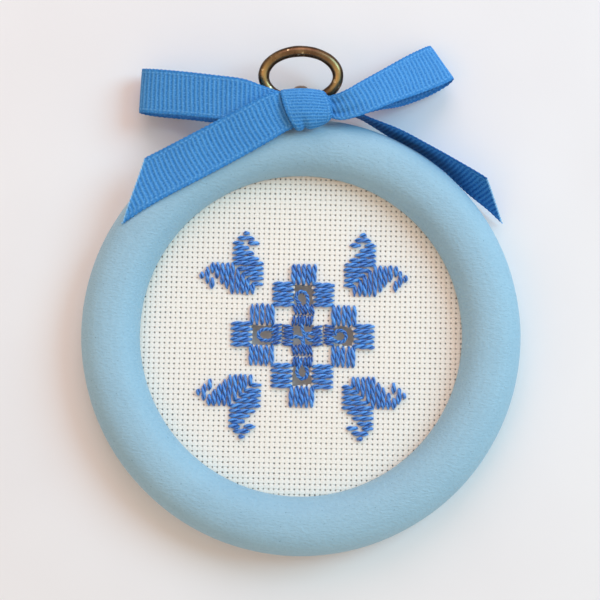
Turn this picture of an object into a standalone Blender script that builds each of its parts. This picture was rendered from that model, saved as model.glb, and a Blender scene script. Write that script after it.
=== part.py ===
"""A small round embroidery hoop used as a hanging frame: it lies on its back, front face up.

Metres, +Z up. The origin is the middle of the footprint on the surface that the hoop lies on.
+Y points towards the hanging ring. An inner hoop holds the cloth, and the outer hoop, with
its screw eye, ring and ribbon bow, lifts off the front of it.
"""

import math

import bmesh
import bpy
from mathutils import Matrix, Vector

MM = 0.001
GAP = 0.3 * MM

# Hanging ring: a flat oval of round wire that swings in the screw eye.
RING_HALF_WIDTH = 8.55 * MM
RING_HALF_LENGTH = 5.72 * MM
RING_WIRE_RADIUS = 1.3 * MM
RING_RISE = math.radians(20)
RING_FROM_HOOP_CENTRE = 54.15 * MM
RING_AXIS_HEIGHT = 6.0 * MM

# Outer hoop.
HOOP_OUTER_RADIUS = 50.0 * MM
HOOP_WINDOW_RADIUS = 36.7 * MM
HOOP_THICKNESS = 11.5 * MM
HOOP_SIDE_HEIGHT = 4.9 * MM
HOOP_FRONT_POWER = 2.2
HOOP_BACK_TUCK = 1.2 * MM
LIP_UNDERSIDE = 4.5 * MM
RABBET_RADIUS = 40.7 * MM
FLANGE_SEAT_RADIUS = 43.1 * MM
FLANGE_SEAT_DEPTH = 1.9 * MM
TURNED_STEPS = 72

# Inner hoop and cloth.
INNER_HOOP_BORE = 37.0 * MM
INNER_HOOP_RADIUS = 39.6 * MM
INNER_HOOP_HEIGHT = 3.4 * MM
FLANGE_RADIUS = FLANGE_SEAT_RADIUS - GAP
FLANGE_HEIGHT = FLANGE_SEAT_DEPTH - GAP
CLOTH_THICKNESS = 0.5 * MM
CLOTH_TOP = INNER_HOOP_HEIGHT + GAP + CLOTH_THICKNESS
CLOTH_RADIUS = RABBET_RADIUS - GAP
CLOTH_HEM_HEIGHT = FLANGE_SEAT_DEPTH + GAP

# Screw eye.
EYE_CENTRE_FROM_HOOP = 53.75 * MM
EYE_HOLE_RADIUS = 2.5 * MM
EYE_OUTER_RADIUS = 3.95 * MM
EYE_HALF_THICKNESS = 1.6 * MM
SHANK_RADIUS = 0.9 * MM
SHANK_TIP_FROM_HOOP = 45.0 * MM
SEAT_RADIUS = 2.6 * MM
SEAT_FLOOR_FROM_HOOP = 49.3 * MM

# Embroidery: four threads of cloth make one unit, and five stitches fill one block.
THREAD_PITCH = 1.167 * MM
UNIT = 4 * THREAD_PITCH
STITCH_HEIGHT = 0.7 * MM
STITCH_BASE = CLOTH_TOP + 0.2 * MM
BLOCK_ACROSS = 4.7 * MM
BLOCK_ALONG = 4.1 * MM
STITCHES_PER_BLOCK = 5
CUT_HOLE = 4.6 * MM
PICOT_RADIUS = 1.25 * MM
PICOT_THREAD_RADIUS = 0.3 * MM
FILLING_STRAND = 0.7 * MM
EMBROIDERY_CENTRE = Vector((0.39 * MM, -0.1 * MM))
EMBROIDERY_TURN = math.radians(-1.2)
CUT_HOLES = [(0, 0), (0, 2), (0, -2), (2, 0), (-2, 0)]
BAR_PLACES = {"top": (0, 1), "bottom": (0, -1), "left": (-1, 0), "right": (1, 0)}

# One arm of a corner motif: (row from the embroidery's middle, where its stitch starts
# and ends across the arm), all in threads of the cloth.
MOTIF_ROWS = [
    (10, 8, 10), (11, 8, 11), (12, 8, 12), (13, 8, 13), (14, 8, 14),
    (15, 9, 14), (16, 10, 14), (17, 11, 14), (18, 12, 14), (19, 10, 13),
]
MOTIF_TIP = (20, 11, 12)
MOTIF_HOOK = (18, 9, 10.6)

# Ribbon bow. Each station is the ribbon's upper and lower edge in millimetres from the
# hoop's centre, in order along the ribbon.
RIBBON_THICKNESS = 0.5 * MM
RIBBON_STEPS = 3
LEFT_LOOP = [
    ((-4.7, 54.7, 12.9), (-3.2, 49.6, 12.5)), ((-8.8, 56.0, 13.5), (-8.1, 48.3, 13.1)),
    ((-13.1, 57.5, 13.7), (-13.1, 47.9, 13.3)), ((-19.5, 58.6, 12.8), (-19.5, 48.5, 12.4)),
    ((-26.5, 59.8, 11.2), (-26.4, 49.6, 10.8)), ((-32.4, 60.8, 9.3), (-32.7, 50.4, 9.0)),
    ((-35.6, 61.4, 7.6), (-36.2, 51.1, 7.3)), ((-36.7, 61.9, 5.4), (-37.3, 51.6, 5.2)),
    ((-36.1, 62.1, 3.4), (-36.7, 51.7, 3.2)), ((-32.9, 61.7, 2.4), (-33.3, 51.3, 2.2)),
    ((-25.9, 60.6, 2.8), (-26.0, 50.5, 2.6)), ((-19.5, 59.0, 5.0), (-19.2, 49.3, 4.8)),
    ((-14.0, 57.0, 8.9), (-13.0, 48.8, 8.9)), ((-8.8, 55.6, 10.6), (-8.0, 49.4, 10.6)),
    ((-4.7, 54.6, 11.2), (-3.4, 50.0, 11.2)),
]
RIGHT_LOOP = [
    ((7.5, 53.8, 13.2), (7.6, 48.6, 12.8)), ((10.0, 54.8, 13.8), (11.1, 48.6, 13.4)),
    ((13.4, 56.9, 13.2), (15.7, 49.9, 13.2)), ((18.1, 60.0, 11.2), (21.2, 52.3, 12.0)),
    ((24.0, 64.1, 8.0), (27.5, 55.1, 9.8)), ((28.6, 67.0, 5.2), (33.2, 57.8, 7.8)),
    ((30.0, 67.8, 3.8), (35.2, 59.3, 6.2)), ((30.2, 67.9, 2.3), (35.3, 59.4, 4.2)),
    ((28.9, 67.2, 1.5), (33.8, 58.3, 2.8)), ((24.4, 65.0, 1.8), (29.4, 55.9, 2.8)),
    ((18.9, 61.6, 4.6), (23.5, 53.2, 5.0)), ((14.1, 57.8, 9.3), (18.0, 51.2, 9.5)),
    ((10.3, 55.3, 10.8), (12.4, 49.6, 10.8)), ((7.6, 53.9, 11.3), (8.0, 49.2, 11.2)),
]
LEFT_TAIL = [
    ((-5.4, 54.3, 14.9), (-1.7, 46.4, 13.3)), ((-7.4, 53.8, 15.0), (-3.4, 45.4, 13.1)),
    ((-12.6, 51.1, 14.9), (-7.9, 42.7, 12.9)), ((-18.4, 48.1, 14.0), (-13.8, 39.4, 12.5)),
    ((-25.2, 44.8, 12.6), (-20.3, 35.9, 12.3)), ((-30.9, 42.1, 11.2), (-26.0, 32.9, 12.2)),
    ((-35.6, 39.9, 10.2), (-31.2, 30.2, 12.0)), ((-38.2, 32.5, 10.6), (-36.5, 27.1, 11.6)),
    ((-40.8, 25.1, 10.7), (-40.5, 24.5, 10.8)),
]
RIGHT_TAIL = [
    ((10.4, 51.9, 9.4), (9.4, 51.3, 6.0)), ((15.5, 49.7, 8.9), (14.2, 50.6, 2.2)),
    ((22.6, 46.5, 10.4), (20.5, 46.7, 1.8)), ((29.4, 42.8, 10.5), (27.0, 43.1, 1.5)),
    ((35.1, 39.7, 10.0), (32.9, 38.9, 1.4)), ((42.4, 35.4, 9.5), (38.6, 33.4, 1.4)),
    ((44.8, 30.8, 5.4), (43.2, 29.6, 1.4)), ((46.9, 26.5, 1.8), (46.7, 26.2, 1.4)),
]
KNOT_OUTLINE = [
    (-4.2, 54.6), (0.5, 54.9), (4.6, 54.5), (6.9, 51.9), (6.8, 48.9), (4.3, 46.9), (-0.6, 45.9),
]
KNOT_UNDERSIDE = 11.6 * MM
KNOT_FRONT = 15.6 * MM
KNOT_ROUNDING = 1.1 * MM
TIE_STRAND_RADIUS = 0.5 * MM
TIE_STRAND = [
    (-3.0, 52.4, 11.1), (-3.1, 52.2, 9.4), (-2.6, 52.1, 7.4), (-1.2, 52.05, 6.2),
    (0.0, 52.05, 6.0), (1.2, 52.05, 6.2), (2.6, 52.1, 7.4), (3.1, 52.2, 9.4), (3.0, 52.4, 11.1),
]

# The footprint's middle is the origin, so the hoop's own centre lies below it in Y.
RING_REACH = (
    RING_FROM_HOOP_CENTRE + 2 * RING_HALF_LENGTH * math.cos(RING_RISE) + RING_WIRE_RADIUS
)
RIBBON_REACH = max(point[1] for station in RIGHT_LOOP for point in station) * MM
HOOP_CENTRE = Vector((0, (HOOP_OUTER_RADIUS - max(RING_REACH, RIBBON_REACH)) / 2, 0))

MATERIALS = {
    "hoop_blue": ((0.36, 0.55, 0.68), 0.6, 0.0),
    "inner_hoop_white": ((0.75, 0.74, 0.70), 0.5, 0.0),
    "evenweave_cloth": ((0.82, 0.79, 0.72), 0.9, 0.0),
    "blue_thread": ((0.08, 0.24, 0.62), 0.6, 0.0),
    "blue_ribbon": ((0.06, 0.25, 0.57), 0.7, 0.0),
    "antique_brass": ((0.30, 0.20, 0.08), 0.35, 1.0),
}


def clear_scene():
    for obj in list(bpy.data.objects):
        bpy.data.objects.remove(obj, do_unlink=True)


def make_material(name):
    colour, roughness, metallic = MATERIALS[name]
    material = bpy.data.materials.new(name)
    material.use_nodes = True
    shader = material.node_tree.nodes["Principled BSDF"]
    shader.inputs["Base Color"].default_value = (*colour, 1)
    shader.inputs["Roughness"].default_value = roughness
    shader.inputs["Metallic"].default_value = metallic
    return material


def add_object(name, data, material_name, location=HOOP_CENTRE):
    """One named object with a material of its own."""
    obj = bpy.data.objects.new(name, data)
    bpy.context.scene.collection.objects.link(obj)
    obj.location = location
    material = make_material(material_name)
    material.name = name + "_" + material_name
    data.materials.append(material)
    return obj


def mesh_from(bm, name):
    bmesh.ops.recalc_face_normals(bm, faces=bm.faces)
    mesh = bpy.data.meshes.new(name)
    bm.to_mesh(mesh)
    bm.free()
    mesh.shade_smooth()
    mesh.set_sharp_from_angle(angle=math.radians(40))
    return mesh


def turned_mesh(name, profile):
    """A closed (radius, height) profile turned once round the Z axis."""
    bm = bmesh.new()
    corners = [bm.verts.new((radius, 0, height)) for radius, height in profile]
    edges = [bm.edges.new(pair) for pair in zip(corners, corners[1:] + corners[:1])]
    bmesh.ops.spin(
        bm, geom=corners + edges, cent=(0, 0, 0), axis=(0, 0, 1),
        angle=2 * math.pi, steps=TURNED_STEPS, use_merge=True,
    )
    bmesh.ops.remove_doubles(bm, verts=bm.verts, dist=0.01 * MM)
    return mesh_from(bm, name)


def extruded_mesh(name, outline, bottom, top):
    """A flat (x, y) outline drawn up from bottom to top."""
    bm = bmesh.new()
    face = bm.faces.new([bm.verts.new((x, y, bottom)) for x, y in outline])
    raised = bmesh.ops.extrude_face_region(bm, geom=[face])["geom"]
    moved = [item for item in raised if isinstance(item, bmesh.types.BMVert)]
    bmesh.ops.translate(bm, verts=moved, vec=(0, 0, top - bottom))
    return mesh_from(bm, name)


def tube_curve(name, points, radius, cyclic, resolution):
    """A round tube along points, with its ends filled where it is open."""
    curve = bpy.data.curves.new(name, "CURVE")
    curve.dimensions = "3D"
    curve.bevel_depth = radius
    curve.bevel_resolution = resolution
    curve.use_fill_caps = True
    spline = curve.splines.new("POLY")
    spline.points.add(len(points) - 1)
    for place, point in zip(spline.points, points):
        place.co = (*point, 1)
    spline.use_cyclic_u = cyclic
    return curve


def smooth_between(before, start, end, after, t):
    """A point on the Catmull-Rom curve from start to end."""
    slope_start = (end - before) / 2
    slope_end = (after - start) / 2
    return (
        start * (2 * t**3 - 3 * t**2 + 1) + slope_start * (t**3 - 2 * t**2 + t)
        + end * (3 * t**2 - 2 * t**3) + slope_end * (t**3 - t**2)
    )


def smooth_path(points, steps):
    """The points, with steps pieces of a smooth curve between each two."""
    path = []
    last = len(points) - 1
    for i in range(last):
        four = [points[max(i - 1, 0)], points[i], points[i + 1], points[min(i + 2, last)]]
        path += [smooth_between(*four, step / steps) for step in range(steps)]
    return path + [points[last]]


def embroidery_place(x, y, height):
    """A point of the embroidery, in its own turned directions, from the hoop's centre."""
    place = EMBROIDERY_CENTRE + Matrix.Rotation(EMBROIDERY_TURN, 2) @ Vector((x, y))
    return Vector((place.x, place.y, height))


def add_cutter(name, mesh, target):
    """A hidden solid that is cut out of the target."""
    cutter = bpy.data.objects.new(name, mesh)
    bpy.context.scene.collection.objects.link(cutter)
    cutter.location = HOOP_CENTRE
    cutter.hide_render = True
    cutter.display_type = "WIRE"
    cut = target.modifiers.new(name, "BOOLEAN")
    cut.operation = "DIFFERENCE"
    cut.object = cutter
    return cutter


def rod_along_y(bm, radius, start, end, sides):
    """Adds a closed round rod at the screw eye's height, along Y from start to end."""
    turn = Matrix.Rotation(math.pi / 2, 4, "X")
    middle = Matrix.Translation((0, (start + end) / 2, RING_AXIS_HEIGHT))
    bmesh.ops.create_cone(
        bm, cap_ends=True, segments=sides, radius1=radius, radius2=radius,
        depth=end - start, matrix=middle @ turn,
    )


def hoop_profile():
    """Rounded front, tucked outer side, a lip over the cloth and a stepped rabbet behind."""
    middle = (HOOP_OUTER_RADIUS + HOOP_WINDOW_RADIUS) / 2
    half_width = (HOOP_OUTER_RADIUS - HOOP_WINDOW_RADIUS) / 2
    rise = HOOP_THICKNESS - HOOP_SIDE_HEIGHT
    profile = []
    for step in range(4):
        height = step / 4
        tuck = HOOP_BACK_TUCK * (1 - height) ** 2.5
        profile.append((HOOP_OUTER_RADIUS - tuck, HOOP_SIDE_HEIGHT * height))
    arc_steps = 16
    for step in range(arc_steps + 1):
        angle = math.pi * step / arc_steps
        across = abs(math.cos(angle)) ** (2 / HOOP_FRONT_POWER)
        up = math.sin(angle) ** (2 / HOOP_FRONT_POWER) if 0 < step < arc_steps else 0
        side = math.copysign(across, math.cos(angle))
        profile.append((middle + half_width * side, HOOP_SIDE_HEIGHT + rise * up))
    lip_rounding = HOOP_SIDE_HEIGHT - LIP_UNDERSIDE
    profile += [
        (HOOP_WINDOW_RADIUS + lip_rounding, LIP_UNDERSIDE),
        (RABBET_RADIUS, LIP_UNDERSIDE),
        (RABBET_RADIUS, FLANGE_SEAT_DEPTH),
        (FLANGE_SEAT_RADIUS, FLANGE_SEAT_DEPTH),
        (FLANGE_SEAT_RADIUS, 0),
    ]
    return profile


def add_outer_hoop():
    hoop = add_object("outer_hoop", turned_mesh("outer_hoop", hoop_profile()), "hoop_blue")
    bm = bmesh.new()
    outside = HOOP_OUTER_RADIUS + 1 * MM
    rod_along_y(bm, SHANK_RADIUS + GAP, SHANK_TIP_FROM_HOOP - GAP, outside, 16)
    add_cutter("shank_hole", mesh_from(bm, "shank_hole"), hoop)
    bm = bmesh.new()
    rod_along_y(bm, SEAT_RADIUS, SEAT_FLOOR_FROM_HOOP, outside, 20)
    add_cutter("eye_seat", mesh_from(bm, "eye_seat"), hoop)


def add_inner_hoop():
    profile = [
        (INNER_HOOP_BORE, 0), (FLANGE_RADIUS, 0), (FLANGE_RADIUS, FLANGE_HEIGHT),
        (INNER_HOOP_RADIUS, FLANGE_HEIGHT), (INNER_HOOP_RADIUS, INNER_HOOP_HEIGHT),
        (INNER_HOOP_BORE, INNER_HOOP_HEIGHT),
    ]
    add_object("inner_hoop", turned_mesh("inner_hoop", profile), "inner_hoop_white")


def add_cloth():
    """A disc over the inner hoop, with its edge turned down round it and five cut squares."""
    hem_inside = CLOTH_RADIUS - CLOTH_THICKNESS
    underside = CLOTH_TOP - CLOTH_THICKNESS
    profile = [
        (0, CLOTH_TOP), (CLOTH_RADIUS, CLOTH_TOP), (CLOTH_RADIUS, CLOTH_HEM_HEIGHT),
        (hem_inside, CLOTH_HEM_HEIGHT), (hem_inside, underside), (0, underside),
    ]
    mesh = turned_mesh("embroidery_cloth", profile)
    cloth = add_object("embroidery_cloth", mesh, "evenweave_cloth")
    bm = bmesh.new()
    for column, row in CUT_HOLES:
        middle = embroidery_place(column * UNIT, row * UNIT, CLOTH_TOP)
        place = Matrix.Translation(middle) @ Matrix.Rotation(EMBROIDERY_TURN, 4, "Z")
        size = Matrix.Diagonal((CUT_HOLE, CUT_HOLE, 3 * MM, 1))
        bmesh.ops.create_cube(bm, size=1, matrix=place @ size)
    add_cutter("cut_squares", mesh_from(bm, "cut_squares"), cloth)


def add_screw_eye():
    """An eye whose hole runs along X, on a round shank that is driven into the hoop."""
    bm = bmesh.new()
    around, across = 28, 8
    rings = []
    for i in range(around):
        angle = 2 * math.pi * i / around
        ring = []
        for k in range(across):
            turn = 2 * math.pi * (k + 0.5) / across
            reach = (EYE_HOLE_RADIUS + EYE_OUTER_RADIUS) / 2
            reach += (EYE_OUTER_RADIUS - EYE_HOLE_RADIUS) / 2 * math.cos(turn)
            side = EYE_HALF_THICKNESS * math.sin(turn)
            y = EYE_CENTRE_FROM_HOOP + reach * math.cos(angle)
            z = RING_AXIS_HEIGHT + reach * math.sin(angle)
            ring.append(bm.verts.new((side, y, z)))
        rings.append(ring)
    for ring, after in zip(rings, rings[1:] + rings[:1]):
        for k in range(across):
            right = (k + 1) % across
            bm.faces.new((ring[k], ring[right], after[right], after[k]))
    eye = add_object("screw_eye", mesh_from(bm, "screw_eye"), "antique_brass")
    bm = bmesh.new()
    shank_root = EYE_CENTRE_FROM_HOOP - (EYE_HOLE_RADIUS + EYE_OUTER_RADIUS) / 2
    rod_along_y(bm, SHANK_RADIUS, SHANK_TIP_FROM_HOOP, shank_root, 12)
    add_cutter("eye_shank", mesh_from(bm, "eye_shank"), eye)
    eye.modifiers["eye_shank"].operation = "UNION"


def add_hanging_ring():
    """The oval lies in its own XY plane, with the swing axis along X through its origin."""
    points = []
    for i in range(44):
        angle = 2 * math.pi * i / 44
        x = RING_HALF_WIDTH * math.sin(angle)
        y = RING_HALF_LENGTH * (1 - math.cos(angle))
        points.append((x, y, 0))
    curve = tube_curve("hanging_ring", points, RING_WIRE_RADIUS, True, 3)
    axis = HOOP_CENTRE + Vector((0, RING_FROM_HOOP_CENTRE, RING_AXIS_HEIGHT))
    ring = add_object("hanging_ring", curve, "antique_brass", axis)
    ring.rotation_euler.x = RING_RISE


def add_stitch_block(name, column, row, along_y, material_name):
    """A block of parallel stitches: a rounded ridge for each, run along Y or X."""
    arc_steps = 4
    pitch = BLOCK_ACROSS / STITCHES_PER_BLOCK
    outline = []
    for i in range(STITCHES_PER_BLOCK):
        for step in range(arc_steps):
            x = (i + step / arc_steps) * pitch - BLOCK_ACROSS / 2
            bulge = math.sin(math.pi * step / arc_steps)
            outline.append((x, STITCH_HEIGHT * (0.65 + 0.35 * bulge)))
    outline.append((BLOCK_ACROSS / 2, STITCH_HEIGHT * 0.65))
    outline += [(BLOCK_ACROSS / 2, 0), (-BLOCK_ACROSS / 2, 0)]
    mesh = extruded_mesh(name, outline, -BLOCK_ALONG / 2, BLOCK_ALONG / 2)
    turn = Matrix.Rotation(math.pi / 2, 4, "X")
    mesh.transform(turn if along_y else Matrix.Rotation(math.pi / 2, 4, "Z") @ turn)
    place = HOOP_CENTRE + embroidery_place(column * UNIT, row * UNIT, STITCH_BASE)
    add_object(name, mesh, material_name, place).rotation_euler.z = EMBROIDERY_TURN


def add_blocks_and_bars():
    """Twelve satin blocks round the cut squares, and a woven bar between each two squares."""
    number = 0
    for side in (1, -1):
        places = [(0, 3 * side, True), (3 * side, 0, False)]
        places += [(other, 2 * side, False) for other in (-1, 1)]
        places += [(2 * side, other, True) for other in (-1, 1)]
        for column, row, along_y in places:
            number += 1
            name = "stitch_block_%02d" % number
            add_stitch_block(name, column, row, along_y, "blue_thread")
    for side, (column, row) in BAR_PLACES.items():
        add_stitch_block("woven_bar_" + side, column, row, row != 0, "blue_thread")


def add_picots_and_filling():
    """A thread loop in each outer cut square, and crossed strands over the middle one."""
    for side, (column, row) in BAR_PLACES.items():
        reach = 1.5 * UNIT + GAP + PICOT_RADIUS + PICOT_THREAD_RADIUS
        points = []
        for i in range(14):
            angle = 2 * math.pi * i / 14
            points.append((PICOT_RADIUS * math.cos(angle), PICOT_RADIUS * math.sin(angle), 0))
        curve = tube_curve("picot_" + side, points, PICOT_THREAD_RADIUS, True, 1)
        place = HOOP_CENTRE + embroidery_place(column * reach, row * reach, CLOTH_TOP)
        add_object("picot_" + side, curve, "blue_thread", place)
    far = UNIT / 2 - GAP
    near = FILLING_STRAND / 2
    corner = [(far, -near), (far, near), (near, near)]
    outline = []
    for quarter in range(4):
        turn = Matrix.Rotation(quarter * math.pi / 2, 2)
        outline += [turn @ Vector(point) for point in corner]
    mesh = extruded_mesh("middle_filling", outline, -near, near)
    place = HOOP_CENTRE + embroidery_place(0, 0, CLOTH_TOP)
    add_object("middle_filling", mesh, "blue_thread", place).rotation_euler.z = EMBROIDERY_TURN


def motif_outline():
    """The stepped outline of one motif arm, in threads: x across the arm, y along it."""
    half = 0.42
    hook_row, hook_start, hook_end = MOTIF_HOOK
    outer = []
    inner = []
    for row, start, end in MOTIF_ROWS:
        for edge in (row - half, row + half):
            outer.append((end, edge))
            inner.append((start, edge))
        if row == hook_row:
            inner += [(hook_end, row + half), (hook_end, row - half)]
            inner += [(hook_start, row - half), (hook_start, row + half)]
    row, start, end = MOTIF_TIP
    cap = [(end, row - half), (end, row + half), (start, row + half), (start, row - half)]
    return outer + cap + inner[::-1]


def add_motifs():
    """Four corner motifs, each of two arms that meet along the diagonal."""
    inset = 0.35
    corners = {"top_right": (1, 1), "top_left": (-1, 1), "bottom_left": (-1, -1),
               "bottom_right": (1, -1)}
    for corner, (side_x, side_y) in corners.items():
        for arm in ("upright", "level"):
            outline = []
            for across, along in motif_outline():
                across = max(min(across, along - inset), 8)
                x, y = (across, along) if arm == "upright" else (along, across)
                x, y = x * side_x * THREAD_PITCH, y * side_y * THREAD_PITCH
                outline.append(embroidery_place(x, y, 0).xy)
            name = "motif_" + corner + "_" + arm
            mesh = extruded_mesh(name, outline, STITCH_BASE, STITCH_BASE + STITCH_HEIGHT)
            add_object(name, mesh, "blue_thread")


def add_ribbon(name, stations):
    """A closed strip of ribbon whose two edges run smoothly through the stations."""
    upper = smooth_path([Vector(station[0]) * MM for station in stations], RIBBON_STEPS)
    lower = smooth_path([Vector(station[1]) * MM for station in stations], RIBBON_STEPS)
    bm = bmesh.new()
    sections = []
    for i, (high, low) in enumerate(zip(upper, lower)):
        before, after = max(i - 1, 0), min(i + 1, len(upper) - 1)
        along = upper[after] + lower[after] - upper[before] - lower[before]
        lift = along.cross(high - low).normalized() * RIBBON_THICKNESS / 2
        corners = (high + lift, low + lift, low - lift, high - lift)
        sections.append([bm.verts.new(corner) for corner in corners])
    for section, after in zip(sections, sections[1:]):
        for k in range(4):
            right = (k + 1) % 4
            bm.faces.new((section[k], section[right], after[right], after[k]))
    bm.faces.new(sections[0])
    bm.faces.new(sections[-1])
    add_object(name, mesh_from(bm, name), "blue_ribbon")


def add_bow():
    add_ribbon("bow_left_loop", LEFT_LOOP)
    add_ribbon("bow_right_loop", RIGHT_LOOP)
    add_ribbon("bow_left_tail", LEFT_TAIL)
    add_ribbon("bow_right_tail", RIGHT_TAIL)
    outline = [(x * MM, y * MM) for x, y in KNOT_OUTLINE]
    mesh = extruded_mesh("bow_knot", outline, KNOT_UNDERSIDE, KNOT_FRONT)
    knot = add_object("bow_knot", mesh, "blue_ribbon")
    rounding = knot.modifiers.new("rounding", "BEVEL")
    rounding.width = KNOT_ROUNDING
    rounding.segments = 3
    points = smooth_path([Vector(point) * MM for point in TIE_STRAND], 3)
    curve = tube_curve("bow_tie_strand", points, TIE_STRAND_RADIUS, False, 2)
    add_object("bow_tie_strand", curve, "blue_ribbon")


clear_scene()
add_outer_hoop()
add_inner_hoop()
add_cloth()
add_screw_eye()
add_hanging_ring()
add_blocks_and_bars()
add_picots_and_filling()
add_motifs()
add_bow()
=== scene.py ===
"""Looks for a small round embroidery hoop with a hanging ring and a ribbon bow.

Every shape below is laid out in millimetres from the hoop's centre, on the surface that the
hoop lies on. Shape.piece() turns that into metres in the shared frame.
"""

import math

import bpy
import numpy as np
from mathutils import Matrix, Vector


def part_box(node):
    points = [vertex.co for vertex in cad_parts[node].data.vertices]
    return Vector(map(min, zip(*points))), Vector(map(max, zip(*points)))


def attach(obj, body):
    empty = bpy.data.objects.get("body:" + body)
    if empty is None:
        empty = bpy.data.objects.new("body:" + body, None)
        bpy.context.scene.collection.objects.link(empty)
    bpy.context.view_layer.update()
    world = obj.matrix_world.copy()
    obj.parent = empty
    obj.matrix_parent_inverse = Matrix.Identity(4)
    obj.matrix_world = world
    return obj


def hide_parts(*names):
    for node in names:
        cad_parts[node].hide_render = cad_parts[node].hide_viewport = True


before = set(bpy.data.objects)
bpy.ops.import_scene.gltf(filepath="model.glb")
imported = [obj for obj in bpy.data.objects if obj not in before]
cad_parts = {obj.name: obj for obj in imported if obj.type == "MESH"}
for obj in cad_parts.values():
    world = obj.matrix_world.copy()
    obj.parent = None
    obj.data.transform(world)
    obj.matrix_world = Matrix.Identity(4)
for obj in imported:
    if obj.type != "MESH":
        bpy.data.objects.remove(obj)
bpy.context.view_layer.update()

MM = 0.001
hoop_low, hoop_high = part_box("outer_hoop")
HOOP_CENTRE = np.array([(hoop_low.x + hoop_high.x) / 2, (hoop_low.y + hoop_high.y) / 2, 0])
HOOP_RADIUS = (hoop_high.x - hoop_low.x) / 2 / MM
HOOP_TOP = hoop_high.z / MM
CLOTH_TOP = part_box("embroidery_cloth")[1].z / MM
INNER_HOOP_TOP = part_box("inner_hoop")[1].z / MM
GAP = 0.3

# Outer hoop's section.
WINDOW_RADIUS = 36.7
SIDE_HEIGHT = 4.9
FRONT_POWER = 2.2
BACK_TUCK = 1.2
LIP_UNDERSIDE = 4.5
RABBET_RADIUS = 40.7
FLANGE_SEAT_RADIUS = 43.1
FLANGE_SEAT_DEPTH = 1.9
HOOP_STEPS = 360
HOOP_UNEVEN = 0.025
INNER_BORE = 37.0
INNER_RADIUS = 39.6
FLANGE_RADIUS = FLANGE_SEAT_RADIUS - GAP
FLANGE_HEIGHT = FLANGE_SEAT_DEPTH - GAP

# Screw eye and hanging ring.
EYE_CENTRE = np.array([0, 53.75, 6.0])
EYE_HOLE_RADIUS = 2.5
EYE_OUTER_RADIUS = 3.95
EYE_HALF_THICKNESS = 1.6
SHANK_RADIUS = 0.9
SHANK_TIP = 45.0
SEAT_RADIUS = 2.6
SEAT_FLOOR = 49.3
RING_AXIS = np.array([0, 54.15, 6.0])
RING_HALF_WIDTH = 8.55
RING_HALF_LENGTH = 5.72
RING_WIRE_RADIUS = 1.3
RING_RISE = math.radians(20)

# Cloth and embroidery: places are in threads of the cloth from the embroidery's middle.
THREAD_PITCH = 1.167
UNIT = 4
EMBROIDERY_CENTRE = np.array([0.39, -0.1])
EMBROIDERY_TURN = math.radians(-1.2)
CLOTH_MIDDLE = CLOTH_TOP - 0.25
CLOTH_CUT_RADIUS = 41.6
CLOTH_FOLD_START = 39.65
CLOTH_FOLD_RADIUS = 0.5
PINCH = 0.155
STRAND_WAVE = 0.05
STRAND_SECTION = np.array([(-0.5, 0.0), (-0.42, 0.24), (0.0, 0.21), (0.42, 0.24), (0.5, 0.0),
                           (0.3, -0.3), (-0.3, -0.3)]) * (0.985, 0.40)
LONGEST_CUT_END = 0.6
STITCH_WIDTH = 1.22
STITCH_TOP = CLOTH_TOP + 0.45
BLOCKS = [(0, 3, True), (3, 0, False), (-1, 2, False), (1, 2, False), (2, -1, True), (2, 1, True)]
BAR_STITCHES = 6
BAR_STITCH_PITCH = 0.68
BAR_SLANT = 0.2
BAR_INNER, BAR_OUTER = 0.24, 2.05
BARS = {"top": (0, 1), "bottom": (0, -1), "left": (-1, 0), "right": (1, 0)}
CORNERS = {"top_right": (1, 1), "top_left": (-1, 1), "bottom_left": (-1, -1),
           "bottom_right": (1, -1)}

# One arm of a corner motif: each stitch's row, and its start and end across the arm.
MOTIF_STITCHES = [
    (10, 8, 10), (11, 8, 11), (12, 8, 12), (13, 8, 13), (14, 8, 14), (15, 9, 14), (16, 10, 14),
    (17, 11, 14), (18, 12, 14), (18, 9, 11), (19, 10, 13), (20, 11, 12),
]

# Ribbon.
RIBBON_WIDTH = 10.0
RIB_PITCH = 1.08
KNOT_RIB_PITCH = 0.70
RIB_STEPS = 8
RIB_HEIGHT = 0.135
RIBBON_HALF_THICKNESS = 0.09
SELVEDGE = 1.05
SELVEDGE_HALF_THICKNESS = 0.13
SELVEDGE_LINE_AT = 0.85
SELVEDGE_LINE_HEIGHT = 0.14
PLEAT_WIDTH = 0.085
STATION_STEPS = 30

# Places across the ribbon, from 0 at one edge to 1 at the other, closer near both selvedges.
NEAR_EDGE = np.array([0, 0.1, 0.28, 0.5, 0.7, 0.85, 1.0, 1.15, 1.3, 1.8]) / RIBBON_WIDTH
ACROSS_RIBBON = np.concatenate([NEAR_EDGE, np.linspace(0.23, 0.77, 11), 1 - NEAR_EDGE[::-1]])

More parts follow.
